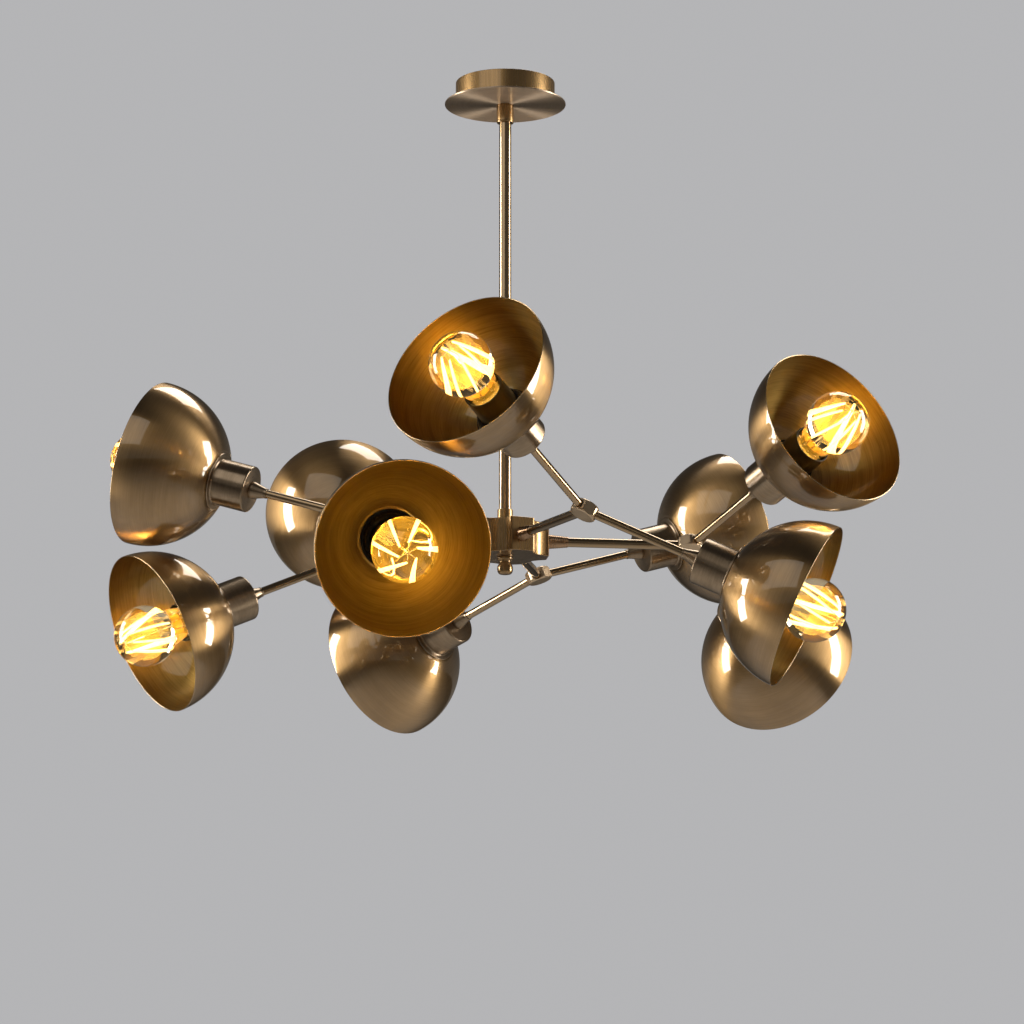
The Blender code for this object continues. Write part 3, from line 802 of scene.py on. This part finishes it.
heads = {}
for letter, (place, out) in arms.items():
    lines = [(mesh_middle(f"shade_{letter}{number}") - place).normalized() for number in (1, 2)]
    upright = lines[0].cross(lines[1]).normalized()
    puck_turn = Matrix((out, upright.cross(out), upright)).transposed().to_4x4()
    puck_place = Matrix.Translation(place) @ puck_turn
    pair, cad_joint = f"pair_{letter}", f"y_joint_{letter}"
    fit_piece(f"fork_{letter}", fork_mesh, puck_place, pair, cast_brass, [cad_joint])
    for number, line in zip((1, 2), lines):
        tag = f"{letter}{number}"
        spin = Matrix.Rotation(math.radians(HEAD_SPIN.get(tag, 0)), 4, "Z")
        heads[tag] = (stand(place, line, upright) @ spin, pair)

# ---------------------------------------------------------------- rods and cups
# Each head hangs on a drawn brass rod. A plain cone is pressed on its far end against the cup, a turned and
# brushed brass can with a rounded back and a thin flange, which carries the wires' ends and holds the shade.
ROD_REACH = 0.1185  # Y joint to the cup's back
ROD_WALL = 0.001
PLAIN_CONE_LENGTH = 0.017
PLAIN_CONE_TIP, PLAIN_CONE_BASE = 0.0049, 0.0084
CUP_RADIUS = 0.0225
CUP_LENGTH = 0.035
CUP_WALL = 0.0012
CUP_BACK_EDGE = 0.0018
FLANGE_RADIUS = 0.028
FLANGE_THICKNESS = 0.0015
SEAT = ROD_REACH + CUP_LENGTH  # Y joint to the cup's mouth, where the shade sits

cup_floor = ROD_REACH + CUP_WALL
rod_outline = [
    (SOCKET_FLOOR, ROD_RADIUS - ROD_WALL),
    (SOCKET_FLOOR, ROD_RADIUS),
    (cup_floor, ROD_RADIUS),
    (cup_floor, ROD_RADIUS - ROD_WALL),
]
rod_mesh = lathe("rod", eased(rod_outline, TUBE_EDGE, closed=True), sides=48)
cone_start = ROD_REACH - PLAIN_CONE_LENGTH
plain_cone_outline = [
    (cone_start, ROD_RADIUS + PRESS_GAP),
    (cone_start, PLAIN_CONE_TIP),
    (cone_start + 0.0022, PLAIN_CONE_TIP),
    (ROD_REACH - 0.0025, PLAIN_CONE_BASE),
    (ROD_REACH, PLAIN_CONE_BASE),
    (ROD_REACH, ROD_RADIUS + PRESS_GAP),
]
plain_cone_mesh = lathe("rod_cone", eased(plain_cone_outline, 0.0006, closed=True), sides=64)
cup_bore, flange_back = CUP_RADIUS - CUP_WALL, SEAT - FLANGE_THICKNESS
cup_outline = [
    (ROD_REACH, ROD_RADIUS + PRESS_GAP),
    (ROD_REACH, CUP_RADIUS),
    (flange_back - 0.0009, CUP_RADIUS),
    (flange_back, CUP_RADIUS + 0.0012),
    (flange_back, FLANGE_RADIUS),
    (SEAT, FLANGE_RADIUS),
    (SEAT, cup_bore),
    (cup_floor, cup_bore),
    (cup_floor, ROD_RADIUS + PRESS_GAP),
]
cup_mesh = lathe("cup", eased(cup_outline, CUP_BACK_EDGE, steps=5, closed=True))
cup_brass = brushed(
    "brushed_cup_brass", (0.47, 0.36, 0.25), (0.27, 0.20, 0.13), 0.30, "round", coat=0.25, streak=0.6
)
for tag, (place, body) in heads.items():
    fit_piece(f"rod_{tag}", rod_mesh, place, body, tube_brass, [f"rod_and_cup_{tag}"])
    fit_piece(f"rod_cone_{tag}", plain_cone_mesh, place, body, cup_brass)
    fit_piece(f"cup_{tag}", cup_mesh, place, body, cup_brass)

# ---------------------------------------------------------------- shades
# Thin brass hemispheres spun on a lathe. The outside is brushed round and clear lacquered; the inside keeps
# the coarser rings of the spinning tool, and its colour, more amber and darker than the outside's, is painted
# lamplight and shade. Both sides end in a rim of paler brass, a painted highlight along the edge.
SHADE_RADIUS = 0.080
SHADE_WALL = 0.0008
SHADE_SEAT = 0.029  # radius of the flat back
SHADE_HOLE = 0.0199
SHADE_STEPS = 40
SHADE_SIDES = 128
SHADE_BACK = SEAT + 0.0003
RIM = SHADE_BACK + math.sqrt(SHADE_RADIUS**2 - SHADE_SEAT**2)
RIM_TURNS = (0.6, 1.2, 1.9, 2.5)  # radians round the rolled rim, from its outer side

outside_brass = brushed(
    "lacquered_shade_brass", BRASS_LIGHT, BRASS_DARK, 0.36, "round", coat=1.0, streak=0.9, grain=1800.0
)
# Painted lamplight and shade: the inside is the same brass as the outside, painted more amber and darker.
inside_brass_painted_light_and_shade = brushed(
    "spun_inside_brass",
    (0.58, 0.375, 0.10),
    (0.22, 0.13, 0.03),
    0.33,
    "round",
    coat=0.9,
    grain=1100.0,
    bands=160.0,
)
# Painted highlight: the rim is painted paler than the shade's brass, for the bright line of light along its
# edge.
rim_brass = brushed(
    "bare_rim_brass", (0.72, 0.55, 0.34), (0.55, 0.40, 0.22), 0.22, "round", coat=0.2, streak=0.3
)


def dome(radius, start, end):
    """Points of the hemisphere's arc between two angles from its axis."""
    turns = [start + (end - start) * step / SHADE_STEPS for step in range(SHADE_STEPS + 1)]
    return [(RIM - radius * math.cos(turn), radius * math.sin(turn)) for turn in turns]


first_turn = math.asin(SHADE_SEAT / SHADE_RADIUS)
inner_radius = SHADE_RADIUS - SHADE_WALL
inner_turn = math.acos((RIM - SHADE_BACK - SHADE_WALL) / inner_radius)
outer_side = [(SHADE_BACK, SHADE_HOLE), *dome(SHADE_RADIUS, first_turn, math.pi / 2)]
inner_side = [*dome(inner_radius, math.pi / 2, inner_turn), (SHADE_BACK + SHADE_WALL, SHADE_HOLE)]
rim_middle, rim_half = SHADE_RADIUS - SHADE_WALL / 2, SHADE_WALL / 2
rim_round = [
    (RIM + rim_half * math.sin(turn), rim_middle + rim_half * math.cos(turn)) for turn in RIM_TURNS
]
shade_mesh = lathe("shade_dome", outer_side + rim_round + inner_side, sides=SHADE_SIDES)
for paint in (outside_brass, inside_brass_painted_light_and_shade, rim_brass):
    shade_mesh.materials.append(paint)
for face in shade_mesh.polygons:
    on_rim = face.center.z > RIM - 0.00001
    on_back = face.center.z < SHADE_BACK + SHADE_WALL * 1.5
    from_centre = (face.center - Vector((0, 0, RIM))).length
    inside = face.normal.z > 0.5 if on_back else from_centre < rim_middle
    face.material_index = 2 if on_rim else int(inside)
for tag, (place, body) in heads.items():
    fit_piece(f"dome_{tag}", shade_mesh, place, body, None, [f"shade_{tag}"])

# ---------------------------------------------------------------- lamp holders
# A black bakelite holder with a fine thread on its barrel stands through the shade's hole. A knurled ring,
# screwed down on the thread, clamps the shade against the cup.
HOLDER_RADIUS = 0.0195
HOLDER_TAIL = 0.015  # how far it reaches back into the cup
HOLDER_FRONT = SEAT + 0.043
MOUTH_RADIUS = 0.0178
MOUTH_DEPTH = 0.0095
BULB_FOOT = HOLDER_FRONT - 0.0355  # where the bulb's contact rests
RING_RADIUS = 0.0275
RING_BACK = SHADE_BACK + SHADE_WALL + 0.0003
RING_FRONT = RING_BACK + 0.011
BARREL_BORE = 0.0142
BARREL_PITCH = 0.0016
BARREL_TURNS = 9
BARREL_DEPTH = 0.0005
KNURLS = 28
KNURL_DEPTH = 0.022

bakelite = moulded("black_bakelite", (0.008, 0.007, 0.006), (0.004, 0.0035, 0.003), 0.34, shine=0.22)
barrel = [(SEAT - HOLDER_TAIL, 0), (SEAT - HOLDER_TAIL, HOLDER_RADIUS), (RING_BACK, HOLDER_RADIUS)]
for turn in range(BARREL_TURNS):
    start = RING_BACK + turn * BARREL_PITCH
    barrel.append((start + BARREL_PITCH * 0.35, HOLDER_RADIUS - BARREL_DEPTH))
    barrel.append((start + BARREL_PITCH * 0.85, HOLDER_RADIUS))
mouth_floor, contact = HOLDER_FRONT - MOUTH_DEPTH, BULB_FOOT - 0.0003
barrel += [
    (HOLDER_FRONT, HOLDER_RADIUS - 0.0004),
    (HOLDER_FRONT, MOUTH_RADIUS),
    (mouth_floor, MOUTH_RADIUS - 0.0006),
    (mouth_floor, BARREL_BORE),
    (contact, BARREL_BORE),
    (contact, 0),
]
holder_mesh = lathe("holder", eased(barrel, 0.0004, steps=2), sides=64, closed=False)
ring_bore = HOLDER_RADIUS + 0.0002
ring_outline = [
    (RING_BACK, ring_bore),
    (RING_BACK, RING_RADIUS),
    (RING_BACK + 0.0035, RING_RADIUS),
    (RING_BACK + 0.0042, RING_RADIUS - 0.0022),
    (RING_FRONT - 0.0015, RING_RADIUS - 0.0034),
    (RING_FRONT, RING_RADIUS - 0.0048),
    (RING_FRONT, ring_bore),
]


def knurled(angle, along, radius):
    """Grip notches on the ring's sloping front part."""
    on_grip = RING_BACK + 0.0038 < along < RING_FRONT + 0.001 and radius > HOLDER_RADIUS + 0.001
    dip = max(0.0, math.cos(angle * KNURLS)) ** 3
    return 1 - KNURL_DEPTH * dip if on_grip else 1.0


ring_mesh = lathe("shade_ring", eased(ring_outline, 0.0007, closed=True), sides=KNURLS * 8, grip=knurled)
for tag, (place, body) in heads.items():
    fit_piece(f"holder_{tag}", holder_mesh, place, body, bakelite, [f"lamp_holder_{tag}"])
    fit_piece(f"clamp_ring_{tag}", ring_mesh, place, body, bakelite)

# ---------------------------------------------------------------- bulbs
# Round clear-glass filament bulbs: a blown globe on a neck, a rolled brass screw cap, and inside it a glass
# mount on which six bright filament sticks stand slanting in a ring between an upper and a lower wire.
BULB_RADIUS = 0.030
BULB_LENGTH = 0.105
GLASS_WALL = 0.0006
CAP_RADIUS = 0.0130
CAP_LENGTH = 0.026
CAP_PITCH = 0.0036
CAP_STEPS = 6  # points along one turn of the cap's thread
THREAD_MIDDLE, THREAD_SWELL = 0.0123, 0.0006
NECK_RADIUS = 0.0155
GLOBE_STEPS = 36
GLOBE_JOIN = math.radians(142)  # from the tip to where the globe runs into the neck
NECK_POINTS = 7  # the first points of the glass, which are smoothed
STICKS = 6
STICK_RADIUS = 0.0007
STICK_LOW, STICK_HIGH = 0.0105, 0.0065  # radius of the ring at its lower and upper end
STICK_TWIST = 38.0
STICK_GLOW = 3.6
WIRE_RADIUS = 0.00028
TOP_JOINT = 0.002  # from the sticks' upper ends to where their wires meet
LAMP_WATTS = 0.17
LAMP_SOFTNESS = 0.012
LAMP_COLOUR = (1.0, 0.57, 0.10)

globe_middle = BULB_FOOT + BULB_LENGTH - BULB_RADIUS
cap_end = BULB_FOOT + CAP_LENGTH


def smoothed(points, rounds=2):
    """Corner cutting that keeps the first and last points."""
    for _ in range(rounds):
        cut = [points[0]]
        for one, two in zip(points, points[1:]):
            one, two = Vector(one), Vector(two)
            cut += [tuple(one * 0.75 + two * 0.25), tuple(one * 0.25 + two * 0.75)]
        points = cut + [points[-1]]
    return points


def globe_side(shrink):
    """One face of the glass from the cap to the tip, this far inside the outer face."""
    radius = BULB_RADIUS - shrink
    points = [
        (cap_end - 0.002, CAP_RADIUS - 0.0004 - shrink),
        (cap_end + 0.0030, CAP_RADIUS + 0.0012 - shrink),
        (cap_end + 0.0085, NECK_RADIUS - shrink),
        (cap_end + 0.0145, NECK_RADIUS + 0.0012 - shrink),
    ]
    for step in range(GLOBE_STEPS):
        turn = GLOBE_JOIN * (1 - step / GLOBE_STEPS)
        points.append((globe_middle + radius * math.cos(turn), radius * math.sin(turn)))
    points.append((globe_middle + radius, 0))
    return smoothed(points[:NECK_POINTS]) + points[NECK_POINTS:]


def shell(name, outer, inner, sides):
    """Glass between an outer and an inner face, closed at its open end."""
    body = bmesh.new()
    for outline in (outer, inner):
        body.from_mesh(lathe("skin", outline, sides=sides, closed=False))
    bmesh.ops.bridge_loops(body, edges=[edge for edge in body.edges if edge.is_boundary])
    bmesh.ops.recalc_face_normals(body, faces=body.faces)
    mesh = bpy.data.meshes.new(name)
    body.to_mesh(mesh)
    body.free()
    mesh.shade_smooth()
    return mesh


globe_mesh = shell("globe", globe_side(0.0), globe_side(GLASS_WALL), 64)


def lamp_glass(name, tint, painted_glow_strength=0.0):
    """Blown glass with a faint ripple. The glow strength is a painted glow that stands in for the filaments'
    light caught in the glass.
    """
    made, tree = paint_nodes(name)
    place = node(tree, "ShaderNodeTexCoord")
    ripple = noise(tree, place, 55.0, 2.0)
    surface(
        tree,
        [
            ("Base Color", (*tint, 1.0)),
            ("Roughness", 0.015),
            ("Transmission Weight", 1.0),
            ("IOR", 1.45),
            ("Normal", relief(tree, 0.05, 0.0008, ripple)),
            ("Emission Color", (1.0, 0.55, 0.06, 1.0)),
            ("Emission Strength", painted_glow_strength),
        ],
    )
    return made


clear_glass = lamp_glass("clear_lamp_glass", (1.0, 0.95, 0.82))
# Painted glow: the glass mount glows faintly to stand in for the filaments' light on it; it is no lamp.
mount_glass = lamp_glass("mount_glass", (1.0, 0.80, 0.35), 0.12)

cap_outline = [
    (BULB_FOOT, 0),
    (BULB_FOOT, 0.0045),
    (BULB_FOOT + 0.0012, 0.0050),
    (BULB_FOOT + 0.0035, 0.0118),
]
cap_turns = int((CAP_LENGTH - 0.009) / CAP_PITCH)
for step in range(cap_turns * CAP_STEPS):
    turns = step / CAP_STEPS
    swell = THREAD_SWELL * math.cos(turns * 2 * math.pi)
    cap_outline.append((BULB_FOOT + 0.0045 + turns * CAP_PITCH, THREAD_MIDDLE + swell))
cap_outline += [
    (cap_end - 0.0035, CAP_RADIUS - 0.0002),
    (cap_end, CAP_RADIUS),
    (cap_end, CAP_RADIUS - 0.0004),
    (cap_end - 0.0015, 0.004),
    (cap_end - 0.0015, 0),
]
cap_mesh = lathe("screw_cap", cap_outline, sides=48, closed=False)
cap_brass = plain_metal("screw_cap_brass", (0.80, 0.62, 0.30), (0.68, 0.50, 0.22), 0.28)
cap_cement = moulded("cap_cement", (0.10, 0.075, 0.05), (0.05, 0.035, 0.02), 0.6)
cap_mesh.materials.append(cap_brass)
cap_mesh.materials.append(cap_cement)
for face in cap_mesh.polygons:
    face.material_index = 1 if face.normal.z > 0.7 and face.center.z > cap_end - 0.003 else 0

mount_top = globe_middle - 0.016
mount_outline = [
    (cap_end - 0.001, 0),
    (cap_end - 0.001, 0.0105),
    (cap_end + 0.0015, 0.0100),
    (cap_end + 0.0060, 0.0066),
    (cap_end + 0.0110, 0.0046),
    (mount_top - 0.006, 0.0040),
    (mount_top - 0.003, 0.0046),
    (mount_top, 0.0030),
    (mount_top + 0.0012, 0.0016),
    (mount_top + 0.0012, 0),
]
mount_mesh = lathe("mount", smoothed(mount_outline), sides=32, closed=False)


def rod_between(start, end, radius, sides=8, bulge=1.0):
    """A thin stick with rounded ends between two points."""
    start, end = Vector(start), Vector(end)
    length = (end - start).length
    outline = [(0, 0), (0, radius * 0.6), (radius * 0.5, radius), (length / 2, radius * bulge)]
    outline += [(length - radius * 0.5, radius), (length, radius * 0.6), (length, 0)]
    stick = lathe("stick", outline, sides=sides, closed=False)
    stick.transform(stand(start, end - start, Vector((0.3, 0.9, 0.2))))
    return stick


def on_ring(level, radius, degrees):
    """A point at a height on a ring round the bulb's axis."""
    turn = math.radians(degrees)
    return (radius * math.cos(turn), radius * math.sin(turn), level)


stick_base, stick_top = globe_middle - 0.016, globe_middle + 0.013
sticks, wires = [], []
for stick in range(STICKS):
    turn = 360 * stick / STICKS
    foot = on_ring(stick_base, STICK_LOW, turn)
    head = on_ring(stick_top, STICK_HIGH, turn + STICK_TWIST)
    sticks.append(rod_between(foot, head, STICK_RADIUS, sides=10, bulge=1.08))
    wires.append(rod_between(head, on_ring(stick_top + TOP_JOINT, 0.0002, turn), WIRE_RADIUS))
    wires.append(rod_between(on_ring(mount_top - 0.0015, 0.0022, turn), foot, WIRE_RADIUS))
wires.append(rod_between((0, 0, mount_top - 0.002), (0, 0, stick_top + 0.0022), WIRE_RADIUS * 1.2))
for side in (-1, 1):
    wires.append(rod_between((side * 0.0016, 0, cap_end), (side * 0.0012, 0, mount_top), WIRE_RADIUS))
sticks_mesh, wires_mesh = joined("sticks", sticks), joined("wires", wires)
wire_metal = plain_metal("nickel_wire", (0.66, 0.62, 0.56), (0.50, 0.46, 0.40), 0.25)

glow, glow_tree = paint_nodes("glowing_phosphor")
glow_place = node(glow_tree, "ShaderNodeTexCoord")
glow_spots = noise(glow_tree, glow_place, 900.0, 1.0)
surface(
    glow_tree,
    [
        ("Base Color", (0.95, 0.75, 0.30, 1.0)),
        ("Roughness", 0.5),
        ("Emission Color", colour_between(glow_tree, glow_spots, (1.0, 0.58, 0.17), (1.0, 0.74, 0.34))),
        ("Emission Strength", STICK_GLOW),
    ],
)
glow.cycles.emission_sampling = "NONE"

for tag, (place, body) in heads.items():
    cad_bulb = f"bulb_{tag}"
    globe = fit_piece(f"globe_{tag}", globe_mesh, place, body, clear_glass, [cad_bulb])
    fit_piece(f"screw_cap_{tag}", cap_mesh, place, body)
    mount = fit_piece(f"mount_{tag}", mount_mesh, place, body, mount_glass)
    globe.visible_shadow = mount.visible_shadow = False
    fit_piece(f"filaments_{tag}", sticks_mesh, place, body, glow)
    fit_piece(f"lead_wires_{tag}", wires_mesh, place, body, wire_metal)
    light = bpy.data.lights.new(f"glow_{tag}", "POINT")
    light.energy = LAMP_WATTS
    light.color = LAMP_COLOUR
    light.shadow_soft_size = LAMP_SOFTNESS
    glow_point = bpy.data.objects.new(f"glow_{tag}", light)
    glow_point.matrix_world = place @ Matrix.Translation((0, 0, globe_middle))
    scene.collection.objects.link(glow_point)
    glow_point.visible_camera = False
    glow_point.visible_transmission = False
    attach(glow_point, body)
